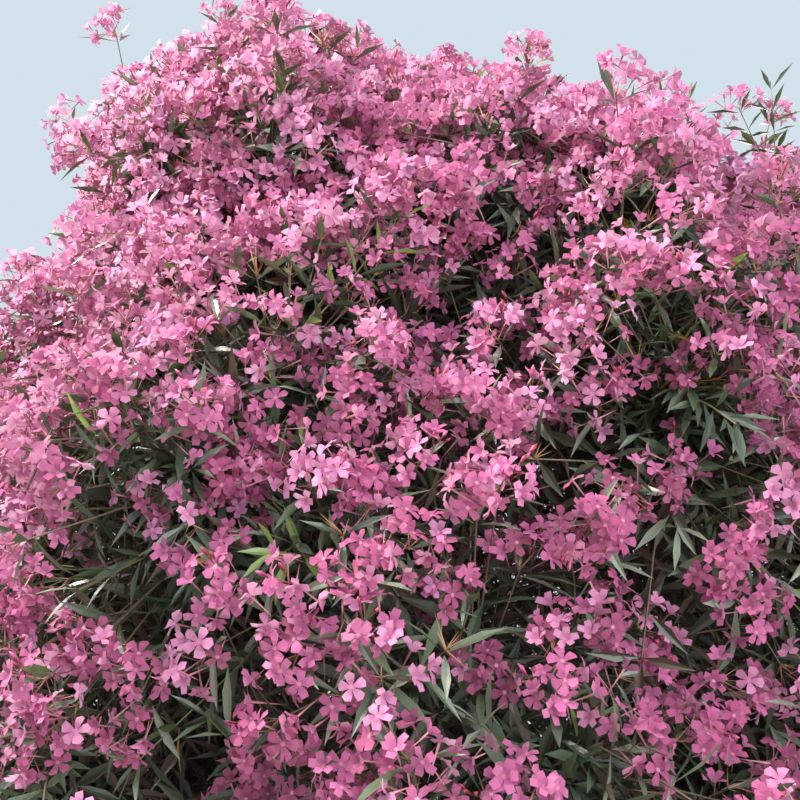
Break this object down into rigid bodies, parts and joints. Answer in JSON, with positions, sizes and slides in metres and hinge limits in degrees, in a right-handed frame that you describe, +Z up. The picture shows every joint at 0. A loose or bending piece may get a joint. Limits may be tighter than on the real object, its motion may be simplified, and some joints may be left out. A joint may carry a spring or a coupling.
{
  "type": "potted oleander",
  "caption": "Large oleander shrub in full pink flower: a clump of bare stems in a plain tapered clay pot carries boughs and a tall, uneven crown.",
  "frame": {"origin": "centre of the pot's flat underside", "axes": "+Z up along the pot, -Y towards the front of the plant, +X to its right as seen from the front"},
  "size_m": [2.8374, 2.8597, 3.9213],
  "materials": {
    "pot": "matt fired clay",
    "soil": "dry granular",
    "bark": "matt, finely ridged",
    "foliage": "pink petals and leathery leaves"
  },
  "bodies": {
    "root": {"pot": "pot", "soil": "soil", "stem_1": "bark", "stem_2": "bark", "stem_3": "bark", "stem_4": "bark", "stem_5": "bark", "stem_6": "bark", "stem_7": "bark", "bough_skirt_1": "bark", "bough_skirt_2": "bark", "bough_skirt_3": "bark", "bough_skirt_4": "bark", "bough_skirt_5": "bark", "bough_skirt_6": "bark", "bough_skirt_7": "bark", "bough_belt_1": "bark", "bough_belt_2": "bark", "bough_belt_3": "bark", "bough_belt_4": "bark", "bough_belt_5": "bark", "bough_belt_6": "bark", "bough_belt_7": "bark", "bough_shoulder_1": "bark", "bough_shoulder_2": "bark", "bough_shoulder_3": "bark", "bough_shoulder_4": "bark", "bough_shoulder_5": "bark", "bough_shoulder_6": "bark", "bough_shoulder_7": "bark", "bough_dome_1": "bark", "bough_dome_2": "bark", "bough_dome_3": "bark", "bough_dome_4": "bark", "foliage_skirt_1": "foliage", "foliage_skirt_2": "foliage", "foliage_skirt_3": "foliage", "foliage_skirt_4": "foliage", "foliage_skirt_5": "foliage", "foliage_skirt_6": "foliage", "foliage_skirt_7": "foliage", "foliage_belt_1": "foliage", "foliage_belt_2": "foliage", "foliage_belt_3": "foliage", "foliage_belt_4": "foliage", "foliage_belt_5": "foliage", "foliage_belt_6": "foliage", "foliage_belt_7": "foliage", "foliage_shoulder_1": "foliage", "foliage_shoulder_2": "foliage", "foliage_shoulder_3": "foliage", "foliage_shoulder_4": "foliage", "foliage_shoulder_5": "foliage", "foliage_shoulder_6": "foliage", "foliage_shoulder_7": "foliage", "foliage_dome_1": "foliage", "foliage_dome_2": "foliage", "foliage_dome_3": "foliage", "foliage_dome_4": "foliage"}
  },
  "joints": []
}
